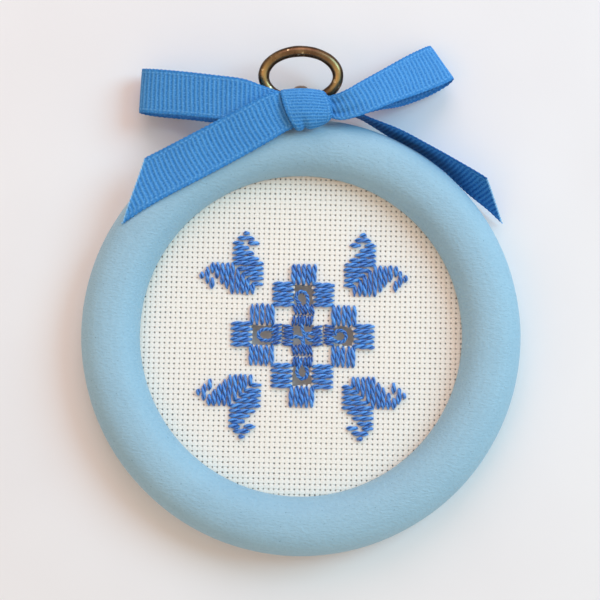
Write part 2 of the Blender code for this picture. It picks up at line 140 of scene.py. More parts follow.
# Each station is the ribbon's upper and lower edge, in order along the ribbon.
LEFT_LOOP = [
    ((-0.6, 53.4, 12.8), (-0.4, 50.4, 12.6)), ((-4.7, 54.7, 13.0), (-3.4, 49.6, 12.6)),
    ((-8.8, 56.0, 13.5), (-8.1, 48.3, 13.1)),
    ((-13.1, 57.5, 13.7), (-13.1, 47.9, 13.3)), ((-19.5, 58.6, 12.8), (-19.5, 48.5, 12.4)),
    ((-26.5, 59.8, 11.2), (-26.4, 49.6, 10.8)), ((-32.4, 60.8, 9.3), (-32.7, 50.4, 9.0)),
    ((-35.6, 61.4, 7.6), (-36.2, 51.1, 7.3)), ((-36.7, 61.9, 5.4), (-37.3, 51.6, 5.2)),
    ((-36.1, 62.1, 3.4), (-36.7, 51.7, 3.2)), ((-32.9, 61.7, 2.4), (-33.3, 51.3, 2.2)),
    ((-25.9, 60.6, 2.8), (-26.0, 50.5, 2.6)), ((-19.5, 59.0, 5.0), (-19.2, 49.3, 4.8)),
    ((-14.0, 57.0, 8.9), (-13.0, 48.8, 8.9)), ((-8.8, 55.6, 10.6), (-8.0, 49.4, 10.6)),
    ((-4.7, 54.6, 11.2), (-3.4, 50.0, 11.2)), ((-0.6, 53.4, 11.9), (-0.4, 50.4, 11.9)),
]
RIGHT_LOOP = [
    ((2.6, 53.4, 12.9), (6.0, 48.8, 12.7)), ((6.6, 53.7, 13.2), (9.3, 48.1, 12.9)),
    ((10.0, 54.8, 13.8), (12.9, 48.8, 13.4)), ((13.4, 56.9, 13.2), (16.8, 50.3, 13.2)),
    ((18.1, 60.0, 11.2), (21.6, 52.5, 12.0)),
    ((24.0, 64.1, 8.0), (27.5, 55.1, 9.8)), ((28.6, 67.0, 5.2), (33.2, 57.8, 7.8)),
    ((30.0, 67.8, 3.8), (35.2, 59.3, 6.2)), ((30.2, 67.9, 2.3), (35.3, 59.4, 4.2)),
    ((28.9, 67.2, 1.5), (33.8, 58.3, 2.8)), ((24.4, 65.0, 1.8), (29.4, 55.9, 2.8)),
    ((18.9, 61.6, 4.6), (23.5, 53.2, 5.0)), ((14.1, 57.8, 9.3), (18.0, 51.2, 9.5)),
    ((10.3, 55.3, 10.8), (12.4, 49.6, 10.8)), ((7.0, 53.9, 11.4), (7.3, 49.4, 11.3)),
    ((3.4, 53.2, 11.9), (3.4, 49.8, 11.9)),
]
# A tail is cut on a slant, from the station numbered CUT_FROM to its last one.
LEFT_TAIL = [
    ((-1.6, 53.6, 13.9), (0.0, 48.2, 13.5)), ((-4.9, 54.4, 14.4), (-1.7, 46.2, 13.3)),
    ((-7.4, 53.8, 15.0), (-3.4, 45.4, 13.1)),
    ((-12.6, 51.1, 14.9), (-7.9, 42.7, 12.9)), ((-18.4, 48.1, 14.0), (-13.8, 39.4, 12.5)),
    ((-25.2, 44.8, 12.6), (-20.3, 35.9, 12.3)), ((-30.9, 42.1, 11.2), (-26.0, 32.9, 12.2)),
    ((-35.6, 39.9, 10.2), (-31.2, 30.2, 12.0)), ((-40.4, 37.2, 9.9), (-36.5, 27.1, 11.6)),
    ((-44.6, 34.9, 9.4), (-40.5, 24.5, 10.8)),
]
RIGHT_TAIL = [
    ((6.9, 52.0, 10.6), (6.6, 50.4, 10.4)), ((10.2, 52.0, 9.9), (9.4, 51.1, 7.2)),
    ((15.5, 49.7, 8.9), (14.2, 50.6, 2.2)),
    ((22.6, 46.5, 10.4), (20.5, 46.7, 1.8)), ((29.4, 42.8, 10.5), (27.0, 43.1, 1.5)),
    ((35.1, 39.7, 10.0), (32.9, 38.9, 1.4)), ((42.4, 35.4, 9.5), (38.6, 33.4, 1.4)),
    ((46.8, 31.6, 9.3), (43.2, 29.6, 1.4)), ((50.0, 28.2, 9.2), (46.7, 26.2, 1.4)),
]
LEFT_CUT_FROM = 7
RIGHT_CUT_FROM = 6
KNOT = [
    ((4.4, 53.6, 11.8), (-4.1, 54.0, 11.8)), ((4.6, 54.7, 12.9), (-4.5, 54.7, 13.2)),
    ((5.5, 54.1, 14.3), (-4.6, 54.1, 14.8)), ((6.6, 52.2, 14.9), (-4.3, 52.4, 15.3)),
    ((7.1, 50.4, 15.0), (-3.8, 50.5, 15.4)), ((7.1, 48.9, 14.8), (-3.0, 48.5, 15.2)),
    ((6.6, 47.9, 14.0), (-1.9, 46.6, 14.5)), ((5.4, 47.4, 12.9), (-1.0, 45.7, 13.2)),
    ((4.6, 48.0, 11.8), (-0.8, 46.3, 11.9)),
]
TIE_STRAND_RADIUS = 0.5
TIE_STRAND = [
    (-3.0, 52.4, 11.1), (-3.1, 52.2, 9.4), (-2.6, 52.1, 7.4), (-1.2, 52.05, 6.2),
    (0.0, 52.05, 6.0), (1.2, 52.05, 6.2), (2.6, 52.1, 7.4), (3.1, 52.2, 9.4), (3.0, 52.4, 11.1),
]

# Camera: it leans a little towards the bottom of the hoop.
CAMERA_LEAN = math.radians(7)
CAMERA_DISTANCE = 400
CAMERA_TARGET = np.array([-0.2, 7.83, 6.0])
CAMERA_ANGLE = math.radians(19.4)

FLOOR_HALF_WIDTH = 1500

chance = np.random.default_rng(11)


# ---------------------------------------------------------------- geometry helpers

def unit(vectors):
    """The vectors, each of length 1."""
    return vectors / np.maximum(np.linalg.norm(vectors, axis=-1, keepdims=True), 1e-9)


def smoothstep(low, high, value):
    """0 at low, 1 at high and smooth between them. low may be the larger."""
    t = np.clip((value - low) / (high - low), 0, 1)
    return t * t * (3 - 2 * t)


def smooth_path(stations, steps):
    """A Catmull-Rom curve through the stations, with steps points to each stretch."""
    points = np.asarray(stations, float)
    padded = np.concatenate([points[:1], points, points[-1:]])
    t = (np.arange(steps) / steps).reshape([-1] + [1] * (points.ndim - 1))
    path = []
    for before, start, end, after in zip(padded, padded[1:], padded[2:], padded[3:]):
        slope_start, slope_end = (end - before) / 2, (after - start) / 2
        path.append(
            start * (2 * t**3 - 3 * t**2 + 1) + slope_start * (t**3 - 2 * t**2 + t)
            + end * (3 * t**2 - 2 * t**3) + slope_end * (t**3 - t**2)
        )
    return np.concatenate(path + [points[-1:]])


def distances(path):
    """How far along the path each of its points lies."""
    return np.concatenate([[0], np.cumsum(np.linalg.norm(np.diff(path, axis=0), axis=1))])


def evenly(path, count):
    """count points at equal distances along the path."""
    far = distances(path)
    places = np.linspace(0, far[-1], count)
    return np.stack([np.interp(places, far, path[:, axis]) for axis in range(3)], axis=1)


def rounded_corners(corners, radius, steps=4):
    """A closed outline whose corners are rounded."""
    corners = np.asarray(corners, float)
    outline = []
    for before, corner, after in zip(np.roll(corners, 1, 0), corners, np.roll(corners, -1, 0)):
        start = corner + unit(before - corner) * radius
        end = corner + unit(after - corner) * radius
        for t in np.linspace(0, 1, steps):
            outline.append(start * (1 - t) ** 2 + corner * 2 * t * (1 - t) + end * t**2)
    return np.array(outline)


def mesh_object(name, points, faces):
    """A new object in the scene, from points in millimetres from the hoop's centre."""
    mesh = bpy.data.meshes.new(name)
    mesh.from_pydata((points * MM + HOOP_CENTRE).tolist(), [], faces)
    obj = bpy.data.objects.new(name, mesh)
    bpy.context.scene.collection.objects.link(obj)
    return obj


class Shape:
    """Collects the surfaces of one piece, with a mark at each point for its material."""

    def __init__(self):
        self.points, self.marks, self.faces, self.count = [], [], [], 0

    def grid(self, points, marks=None, around=False, closed=False, ends=True):
        """Adds rows of points. around joins each row's ends; closed joins the last row to the first."""
        rows, columns = points.shape[:2]
        index = np.arange(rows * columns).reshape(rows, columns) + self.count
        high = index if closed else index[:-1]
        low = np.roll(index, -1, 0) if closed else index[1:]
        if around:
            right_high, right_low = np.roll(high, -1, 1), np.roll(low, -1, 1)
        else:
            right_high, right_low = high[:, 1:], low[:, 1:]
            high, low = high[:, :-1], low[:, :-1]
        quads = np.stack([high, low, right_low, right_high], axis=-1).reshape(-1, 4)
        self.faces += quads.tolist()
        if around and not closed and ends:
            self.faces += [index[0].tolist(), index[-1][::-1].tolist()]
        if marks is None:
            marks = np.zeros_like(points)
        self.points.append(points.reshape(-1, 3))
        self.marks.append(np.broadcast_to(marks, points.shape).reshape(-1, 3))
        self.count += rows * columns

    def sweep(self, path, side, up, section, marks=None, closed=False):
        """Adds a section of (across, height) points along the path."""
        across, height = section[..., 0, None], section[..., 1, None]
        points = path[:, None] + across * side[:, None] + height * up[:, None]
        self.grid(points, marks, around=True, closed=closed)

    def piece(self, name, material, body, slot, *nodes, sharp=50):
        """The finished piece, which rides on a body and stands for the nodes."""
        obj = mesh_object(name, np.concatenate(self.points), self.faces)
        mesh = obj.data
        marks = mesh.attributes.new("marks", "FLOAT_VECTOR", "POINT")
        marks.data.foreach_set("vector", np.concatenate(self.marks).astype(np.float32).ravel())
        mesh.shade_smooth()
        mesh.set_sharp_from_angle(angle=math.radians(sharp))
        mesh.materials.append(material)
        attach(obj, body)
        if nodes:
            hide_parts(*nodes)
        return obj


def cut_away(obj, cutters):
    """Cuts the closed cutters out of the piece for good."""
    for cutter in cutters:
        cut = obj.modifiers.new("cut", "BOOLEAN")
        cut.operation = "DIFFERENCE"
        cut.object = cutter
    finished = obj.evaluated_get(bpy.context.evaluated_depsgraph_get())
    obj.data = bpy.data.meshes.new_from_object(finished)
    obj.modifiers.clear()
    obj.data.set_sharp_from_angle(angle=math.radians(50))
    for cutter in cutters:
        bpy.data.objects.remove(cutter, do_unlink=True)


def rod_cutter(radius, start, end, sides=40):
    """A closed rod along Y at the screw eye's height."""
    turns = np.linspace(0, 2 * math.pi, sides, endpoint=False)
    section = radius * np.stack([np.cos(turns), np.sin(turns)], axis=1)
    path = np.array([[0, start, EYE_CENTRE[2]], [0, end, EYE_CENTRE[2]]])
    rod = Shape()
    side, up = np.array([[-1, 0, 0]] * 2), np.array([[0, 0, 1]] * 2)
    rod.sweep(path, side, up, np.broadcast_to(section, (2, sides, 2)))
    return mesh_object("rod_cutter", np.concatenate(rod.points), rod.faces)


# ---------------------------------------------------------------- materials

class Finish:
    """A Principled material and short ways to add the nodes that feed it."""

    def __init__(self, name, roughness, metallic=0.0, **settings):
        self.material = bpy.data.materials.new(name)
        self.material.use_nodes = True
        self.tree = self.material.node_tree
        self.shader = self.tree.nodes["Principled BSDF"]
        self.shader.inputs["Roughness"].default_value = roughness
        self.shader.inputs["Metallic"].default_value = metallic
        for key, value in settings.items():
            self.shader.inputs[key.replace("_", " ")].default_value = value

    def node(self, kind, *inputs, **settings):
        """A node whose inputs, in order, are values or other nodes' outputs."""
        node = self.tree.nodes.new(kind)
        for key, value in settings.items():
            setattr(node, key, value)
        for socket, value in zip(node.inputs, inputs):
            if isinstance(value, bpy.types.NodeSocket):
                self.tree.links.new(value, socket)
            elif value is not None:
                socket.default_value = value
        return node

    def math(self, operation, *inputs):
        return self.node("ShaderNodeMath", *inputs, operation=operation).outputs[0]

    def scaled(self, vector, scale):
        """The vector with each part multiplied by the scale's."""
        return self.node("ShaderNodeVectorMath", vector, scale, operation="MULTIPLY").outputs[0]

    def noise(self, vector, scale, detail=2.0, rough=0.5):
        node = self.node("ShaderNodeTexNoise", vector)
        node.inputs["Scale"].default_value = scale
        node.inputs["Detail"].default_value = detail
        node.inputs["Roughness"].default_value = rough
        return node.outputs["Fac"]

    def ramp(self, value, *stops):
        """A colour for each (place, colour) stop."""
        node = self.node("ShaderNodeValToRGB", value)
        elements = node.color_ramp.elements
        while len(elements) < len(stops):
            elements.new(0.5)
        for element, (place, colour) in zip(elements, stops):
            element.position = place
            element.color = (*colour, 1)
        return node.outputs["Color"]

    def mix(self, factor, one, other, blend="MIX"):
        """Two colours mixed, or the first multiplied by the second."""
        node = self.tree.nodes.new("ShaderNodeMix")
        node.data_type, node.blend_type = "RGBA", blend
        for socket, value in zip((node.inputs[0], node.inputs[6], node.inputs[7]),
                                 (factor, one, other)):
            if isinstance(value, bpy.types.NodeSocket):
                self.tree.links.new(value, socket)
            else:
                socket.default_value = value if socket == node.inputs[0] else (*value, 1)
        return node.outputs[2]

    def marks(self):
        """The three numbers that Shape keeps at each point."""
        node = self.tree.nodes.new("ShaderNodeAttribute")
        node.attribute_name = "marks"
        return node.outputs["Vector"]

    def place(self):
        """The point in the shared frame at rest, from the hoop's centre, in millimetres."""
        place = self.node("ShaderNodeTexCoord").outputs["Object"]
        place = self.node("ShaderNodeVectorMath", place, HOOP_CENTRE, operation="SUBTRACT")
        return self.scaled(place.outputs[0], (1 / MM,) * 3)

    def feed(self, socket, value):
        self.tree.links.new(value, self.shader.inputs[socket])

    def bump(self, height, distance, strength=1.0, under=None):
        """Bump of that height in millimetres, over another bump if one is given."""
        node = self.tree.nodes.new("ShaderNodeBump")
        node.inputs["Strength"].default_value = strength
        node.inputs["Distance"].default_value = distance * MM
        self.tree.links.new(height, node.inputs["Height"])
        if under is not None:
            self.tree.links.new(under, node.inputs["Normal"])
        return node.outputs[0]


def round_the_hoop(finish, stretch):
    """Coordinates that run along the hoop's rim: a coarse angle, the radius and the height."""
    x, y, z = finish.node("ShaderNodeSeparateXYZ", finish.place()).outputs
    radius = finish.math("SQRT", finish.math("ADD", finish.math("MULTIPLY", x, x),
                                             finish.math("MULTIPLY", y, y)))
    angle = finish.math("ARCTAN2", x, finish.math("MULTIPLY", y, -1.0))
    along = finish.math("MULTIPLY", angle, HOOP_RADIUS * stretch)
    return finish.node("ShaderNodeCombineXYZ", along, radius, z).outputs[0]


def painted_wood(name, light, dark, worn, roughness):
    """Brushed matt paint over wood: faint streaks, a fine grain, soft patches and small pits."""
    finish = Finish(name, roughness)
    rim = round_the_hoop(finish, 0.06)
    streaks = finish.noise(rim, 1.6, 4.0, 0.6)
    fine = finish.noise(finish.scaled(rim, (1.6, 5.0, 5.0)), 1.3, 3.0, 0.6)
    patches = finish.noise(finish.place(), 0.055, 3.0, 0.55)
    specks = finish.noise(finish.place(), 1.9, 2.0, 0.4)
    colour = finish.ramp(streaks, (0.25, dark), (0.70, light))
    patch = finish.ramp(patches, (0.36, worn), (0.58, (1, 1, 1)))
    colour = finish.mix(0.45, colour, patch, "MULTIPLY")
    pits = finish.ramp(specks, (0.22, (0.55, 0.58, 0.6)), (0.29, (1, 1, 1)))
    colour = finish.mix(0.8, colour, pits, "MULTIPLY")
    grain = finish.noise(finish.scaled(finish.place(), (1.0, 2.3, 1.6)), 1.0, 3.0, 0.6)
    brushed = finish.ramp(grain, (0.38, (0.935, 0.95, 0.96)), (0.60, (1, 1, 1)))
    finish.feed("Base Color", finish.mix(1.0, colour, brushed, "MULTIPLY"))
    rough = finish.node("ShaderNodeMapRange", fine, 0.3, 0.7, roughness - 0.08, roughness + 0.1)
    finish.feed("Roughness", rough.outputs[0])
    bump = finish.bump(fine, 0.05, 0.4)
    bump = finish.bump(streaks, 0.10, 0.25, bump)
    bump = finish.bump(grain, 0.27, 0.85, bump)
    finish.feed("Normal", finish.bump(specks, 0.06, 0.25, bump))
    return finish.material


def fibres(name, light, dark, roughness, along, bump_depth, ply_gap_shade=None, **settings):
    """Cotton: fine fibres that run along each strand, and a slow change of shade along it.

    With a ply_gap_shade colour, painted shade darkens the gap between the two plies; the marks' third
    number is how far out of the twist the point lies.
    """
    finish = Finish(name, roughness, **settings)
    marks = finish.marks()
    fine = finish.noise(finish.scaled(marks, (along, 9.0, 9.0)), 1.0, 3.0, 0.6)
    slow = finish.noise(finish.scaled(marks, (0.5, 1.2, 1.2)), 1.0, 2.0, 0.5)
    blend = finish.math("ADD", finish.math("MULTIPLY", fine, 0.6),
                        finish.math("MULTIPLY", slow, 0.4))
    colour = finish.ramp(blend, (0.36, dark), (0.62, light))
    # Painted shade: darker where the two plies meet.
    if ply_gap_shade:
        depth = finish.node("ShaderNodeSeparateXYZ", marks).outputs[2]
        colour = finish.mix(1.0, colour, finish.ramp(depth, (0.22, ply_gap_shade), (0.42, (1, 1, 1))),
                            "MULTIPLY")
    finish.feed("Base Color", colour)
    rough = finish.node("ShaderNodeMapRange", fine, 0.3, 0.7, roughness + 0.1, roughness - 0.1)
    finish.feed("Roughness", rough.outputs[0])
    finish.feed("Normal", finish.bump(fine, bump_depth, 0.8))
    return finish.material


def grosgrain(name, light, dark, edge):
    """Ribbon: fine lengthwise threads over the ribs, lighter specks, painted highlight on the rib
    crests, and pale frayed cuts.

    The marks' third number is how light the point is: painted highlight on the rib crests, a lighter
    beaded selvedge line, and above 1 a pale cut. edge is the colour that these lighter places and the
    specks mix towards.
    """
    finish = Finish(name, 0.65, Specular_IOR_Level=0.22)
    marks = finish.marks()
    rib = finish.node("ShaderNodeSeparateXYZ", marks).outputs[2]
    threads = finish.noise(finish.scaled(marks, (1.4, 3.6, 0.0)), 1.0, 2.0, 0.6)
    specks = finish.noise(finish.scaled(marks, (2.4, 3.0, 0.0)), 1.0, 1.0, 0.5)
    slow = finish.noise(finish.place(), 0.35, 2.0, 0.5)
    colour = finish.ramp(threads, (0.36, dark), (0.62, light))
    # Painted highlight: the rib crests, and the selvedge line, mix towards the lighter colour.
    colour = finish.mix(finish.math("MULTIPLY", rib, 0.62), colour, edge)
    bright = finish.ramp(specks, (0.52, (0, 0, 0)), (0.66, (1, 1, 1)))
    colour = finish.mix(finish.math("MULTIPLY", bright, 0.50), colour, edge)
    colour = finish.mix(finish.math("SUBTRACT", rib, 1.0), colour, (0.34, 0.66, 0.93))
    shade = finish.ramp(slow, (0.3, (0.90, 0.92, 0.94)), (0.7, (1, 1, 1)))
    finish.feed("Base Color", finish.mix(1.0, colour, shade, "MULTIPLY"))
    bump = finish.bump(threads, 0.08, 0.8)
    finish.feed("Normal", finish.bump(specks, 0.08, 0.7, bump))
    return finish.material


def antique_brass(name):
    """Brass with a red-brown patina and worn gold spots; painted shade darkens the wire's inner and
    outer sides, and a painted gold highlight lies on top of the wire round the bends.
    """
    finish = Finish(name, 0.26, 1.0)
    place = finish.place()
    bend, across = finish.node("ShaderNodeSeparateXYZ", finish.marks()).outputs[:2]
    from_middle = finish.math("ABSOLUTE", across)
    cloudy = finish.noise(place, 0.30, 3.0, 0.6)
    grains = finish.noise(place, 3.2, 3.0, 0.6)
    worn = finish.noise(place, 1.1, 2.0, 0.5)
    scratches = finish.noise(finish.scaled(place, (1.5, 9.0, 3.0)), 1.0, 2.0, 0.6)
    blend = finish.math("ADD", finish.math("MULTIPLY", cloudy, 0.75),
                        finish.math("MULTIPLY", grains, 0.25))
    colour = finish.ramp(blend, (0.36, (0.135, 0.074, 0.040)), (0.50, (0.195, 0.116, 0.060)),
                         (0.64, (0.28, 0.185, 0.095)))
    # Painted highlight: gold on top of the wire where the ring bends most.
    painted_gold_highlight = finish.ramp(from_middle, (0.30, (1, 1, 1)), (0.62, (0, 0, 0)))
    painted_gold_highlight = finish.math("MULTIPLY", painted_gold_highlight, bend)
    colour = finish.mix(painted_gold_highlight, colour, (0.62, 0.44, 0.17))
    bright = finish.ramp(worn, (0.66, (0, 0, 0)), (0.71, (1, 1, 1)))
    colour = finish.mix(finish.math("MULTIPLY", bright, 0.8), colour, (0.80, 0.66, 0.38))
    # Painted shade: the wire's inner and outer sides are darkened.
    dark = finish.ramp(from_middle, (0.55, (1, 1, 1)), (0.86, (0.34, 0.32, 0.30)))
    finish.feed("Base Color", finish.mix(1.0, colour, dark, "MULTIPLY"))
    rough = finish.node("ShaderNodeMapRange", grains, 0.3, 0.7, 0.26, 0.42)
    finish.feed("Roughness", rough.outputs[0])
    bump = finish.bump(scratches, 0.02, 0.5)
    finish.feed("Normal", finish.bump(cloudy, 0.08, 0.35, bump))
    return finish.material


# ---------------------------------------------------------------- hoops and metal

def turned(shape, outline, steps, wobble=0.0):
    """A closed (radius, height) outline turned round the hoop's axis, a little unevenly."""
    turns = np.linspace(0, 2 * math.pi, steps, endpoint=False)[:, None]
    radius, height = outline[None, :, 0], outline[None, :, 1]
    uneven = wobble * (np.sin(3 * turns + 0.8) + 0.7 * np.sin(7 * turns + 2.1 + height / 3)
                       + 0.5 * np.sin(17 * turns + height))
    front = smoothstep(SIDE_HEIGHT, HOOP_TOP, height)
    radius = radius - np.abs(uneven) * (radius > HOOP_RADIUS - 2)
    points = np.stack([radius * np.sin(turns), -radius * np.cos(turns),
                       np.broadcast_to(height, radius.shape) - np.abs(uneven) * front], axis=-1)
    shape.grid(points, around=True, closed=True)


def hoop_outline():
    """Rounded front, tucked outer side, a lip over the cloth and a stepped rabbet behind."""
    middle = (HOOP_RADIUS + WINDOW_RADIUS) / 2
    half_width = (HOOP_RADIUS - WINDOW_RADIUS) / 2
    rise = HOOP_TOP - SIDE_HEIGHT
    height = np.linspace(0.04, 1, 14)[:-1]
    side = np.stack([HOOP_RADIUS - BACK_TUCK * (1 - height) ** 2.5, SIDE_HEIGHT * height], axis=1)
    turn = np.linspace(0, math.pi, 61)
    across = np.sign(np.cos(turn)) * np.abs(np.cos(turn)) ** (2 / FRONT_POWER)
    up = np.abs(np.sin(turn)) ** (2 / FRONT_POWER)
    up[[0, -1]] = 0
    front = np.stack([middle + half_width * across, SIDE_HEIGHT + rise * up], axis=1)
    back = np.array([
        (WINDOW_RADIUS, SIDE_HEIGHT), (WINDOW_RADIUS + 0.3, LIP_UNDERSIDE),
        (RABBET_RADIUS, LIP_UNDERSIDE), (RABBET_RADIUS, FLANGE_SEAT_DEPTH),
        (FLANGE_SEAT_RADIUS, FLANGE_SEAT_DEPTH), (FLANGE_SEAT_RADIUS, 0),
        (HOOP_RADIUS - BACK_TUCK, 0), (HOOP_RADIUS - BACK_TUCK, 0.3),
    ])
    back = rounded_corners(back, 0.12)[4:-4]
    return np.concatenate([side, front, back])


def add_hoops(blue, white):
    shape = Shape()
    turned(shape, hoop_outline(), HOOP_STEPS, HOOP_UNEVEN)
    hoop = shape.piece("painted_hoop", blue, "outer_frame", "hoop_blue", "outer_hoop")
    outside = HOOP_RADIUS + 1
    cut_away(hoop, [rod_cutter(SHANK_RADIUS + GAP, SHANK_TIP - GAP, outside),
                    rod_cutter(SEAT_RADIUS, SEAT_FLOOR, outside)])
    shape = Shape()
    corners = [
        (INNER_BORE, 0), (FLANGE_RADIUS, 0), (FLANGE_RADIUS, FLANGE_HEIGHT),
        (INNER_RADIUS, FLANGE_HEIGHT), (INNER_RADIUS, INNER_HOOP_TOP),
        (INNER_BORE, INNER_HOOP_TOP),
    ]
    turned(shape, rounded_corners(corners, 0.3), 240)
    shape.piece("inner_hoop_turned", white, "inner_frame", "inner_hoop_white", "inner_hoop")


def circle(sides):
    turns = np.linspace(0, 2 * math.pi, sides, endpoint=False)
    return np.stack([np.cos(turns), np.sin(turns)], axis=1)


def add_ring(brass):
    """The oval ring, worn a little uneven, and marked for how sharply it bends, which places the
    brass's painted gold highlight.
    """
    turn = np.linspace(0, 2 * math.pi, 200, endpoint=False)
    x = RING_HALF_WIDTH * np.sin(turn)
    y = RING_HALF_LENGTH * (1 - np.cos(turn))
    path = RING_AXIS + np.stack([x, y * math.cos(RING_RISE), y * math.sin(RING_RISE)], axis=1)
    tangent = unit(np.roll(path, -1, 0) - np.roll(path, 1, 0))
    up = np.broadcast_to([0, -math.sin(RING_RISE), math.cos(RING_RISE)], path.shape)
    side = np.cross(up, tangent)
    wear = 1 - 0.02 * (1 + np.sin(5 * turn + 1)) - 0.01 * (1 + np.sin(13 * turn))
    section = circle(28)[None] * (RING_WIRE_RADIUS * wear)[:, None, None]
    # The bend mark places the painted gold highlight; the across mark places the painted shade on the
    # wire's sides.
    bend = np.broadcast_to(np.abs(np.sin(turn))[:, None] ** 6, section.shape[:2])
    marks = np.stack([bend, section[..., 0] / RING_WIRE_RADIUS, 0 * bend], axis=-1)
    shape = Shape()
    shape.sweep(path, side, up, section, marks, closed=True)
    shape.piece("brass_ring", brass, "ring", "antique_brass", "hanging_ring")


def add_eye(brass):
    """The screw eye on its threaded shank."""
    shape = Shape()
    turn = np.linspace(0, 2 * math.pi, 120, endpoint=False)
    outwards = np.stack([0 * turn, np.cos(turn), np.sin(turn)], axis=1)
    middle = (EYE_HOLE_RADIUS + EYE_OUTER_RADIUS) / 2
    half = (EYE_OUTER_RADIUS - EYE_HOLE_RADIUS) / 2
    section = circle(28) * (half, EYE_HALF_THICKNESS)
    shape.sweep(EYE_CENTRE + outwards * middle, outwards,
                np.broadcast_to([1.0, 0, 0], outwards.shape),
                np.broadcast_to(section, (120, 28, 2)), closed=True)
    y = np.linspace(SHANK_TIP, EYE_CENTRE[1] - middle, 90)
    path = np.stack([0 * y, y, 0 * y + EYE_CENTRE[2]], axis=1)
    around = np.linspace(0, 2 * math.pi, 28, endpoint=False)
    ridge = 0.5 + 0.5 * np.cos(2 * math.pi * y[:, None] / 0.8 - around)
    radius = (SHANK_RADIUS - 0.16 * ridge) * smoothstep(SHANK_TIP - 1.2, SHANK_TIP + 1.5, y)[:, None]
    section = circle(28)[None] * radius[..., None]
    shape.sweep(path, np.broadcast_to([-1.0, 0, 0], path.shape),
                np.broadcast_to([0, 0, 1.0], path.shape), section)
    shape.piece("brass_eye", brass, "outer_frame", "antique_brass", "screw_eye")


# ---------------------------------------------------------------- cloth

def embroidered(x, y):
    """A place in threads of the cloth, in millimetres from the hoop's centre."""
    x, y = np.asarray(x, float) * THREAD_PITCH, np.asarray(y, float) * THREAD_PITCH
    c, s = math.cos(EMBROIDERY_TURN), math.sin(EMBROIDERY_TURN)
    return np.stack([EMBROIDERY_CENTRE[0] + c * x - s * y,
                     EMBROIDERY_CENTRE[1] + s * x + c * y], axis=-1)


def over_the_rim(points):
    """Turns the flat cloth down round the inner hoop past the fold."""
    flat = points[..., :2]
    reach = np.linalg.norm(flat, axis=-1)
    lift = points[..., 2] - CLOTH_MIDDLE
    past = reach - CLOTH_FOLD_START
    turn = np.clip(past / CLOTH_FOLD_RADIUS, 0, math.pi / 2)
    down = np.maximum(past - CLOTH_FOLD_RADIUS * math.pi / 2, 0)
    radius = np.minimum(reach, CLOTH_FOLD_START) + (CLOTH_FOLD_RADIUS + lift) * np.sin(turn)
    height = CLOTH_MIDDLE - CLOTH_FOLD_RADIUS * (1 - np.cos(turn)) + lift * np.cos(turn) - down
    return np.concatenate([flat / np.maximum(reach, 1e-6)[..., None] * radius[..., None],
                           height[..., None]], axis=-1)


def strand_stretches(index):
    """Where a strand runs, in threads, leaving out what is cut away for the open squares."""
    across = abs(index + 0.5)
    reach = (CLOTH_CUT_RADIUS - 0.6) / THREAD_PITCH
    if across >= reach - 1:
        return []
    far = math.sqrt(reach**2 - across**2)
    if across < UNIT / 2:
        gap = 2.5 * UNIT + 0.1
    elif 1.5 * UNIT < across < 2.5 * UNIT:
        gap = 0.5 * UNIT + 0.1
    else:
        return [(-far, far)]
    tips = chance.uniform(0, LONGEST_CUT_END, 2)
    return [(-far, tips[0] - gap), (gap - tips[1], far)]


def add_strand(shape, index, start, end, along_y, drift):
    """One strand of the cloth: it waves over and under, and narrows at each hole it passes."""
    s = np.arange(math.ceil(start * 3), math.floor(end * 3) + 1) / 3
    s[0], s[-1] = start, end
    parity = 0.0 if along_y else 1.0
    height = STRAND_WAVE * np.cos(math.pi * (s - 0.5 + index + parity))
    sway = drift[0] * np.sin(s / 5 + 9 * drift[1]) + drift[2] * np.sin(s / 2.3)
    pinch = 0.5 + 0.5 * np.cos(2 * math.pi * s)
    plump = 1 - PINCH * pinch + drift[3]
    plump[[0, -1]] *= 0.6
    x = (index + 0.5) + sway
    places = embroidered(x, s) if along_y else embroidered(s, x)
    path = np.concatenate([places, (CLOTH_MIDDLE + height)[:, None]], axis=1)
    cos, sin = math.cos(EMBROIDERY_TURN), math.sin(EMBROIDERY_TURN)
    side = np.broadcast_to((-cos, -sin, 0) if along_y else (-sin, cos, 0), path.shape)
    up = np.broadcast_to([0.0, 0, 1], path.shape)
    rows = STRAND_SECTION[None] * plump[:, None, None]
    points = path[:, None] + rows[..., :1] * side[:, None] + rows[..., 1:] * up[:, None]
    marks = np.stack([np.broadcast_to(s[:, None] + 31 * index, rows.shape[:2]),
                      rows[..., 0] + 0.7 * index, rows[..., 1]], axis=-1)
    shape.grid(over_the_rim(points), marks, around=True)


def add_cloth(cotton):
    """Strands woven over and under each other, each direction as one piece."""
    for name, along_y in (("cloth_warp", True), ("cloth_weft", False)):
        shape = Shape()
        for index in range(-36, 36):
            drift = 0.018 * chance.standard_normal(4)
            for start, end in strand_stretches(index):
                add_strand(shape, index, start, end, along_y, drift)
        nodes = ("embroidery_cloth",) if along_y else ()
        shape.piece(name, cotton, "inner_frame", "evenweave_cloth", *nodes)


# ---------------------------------------------------------------- embroidery

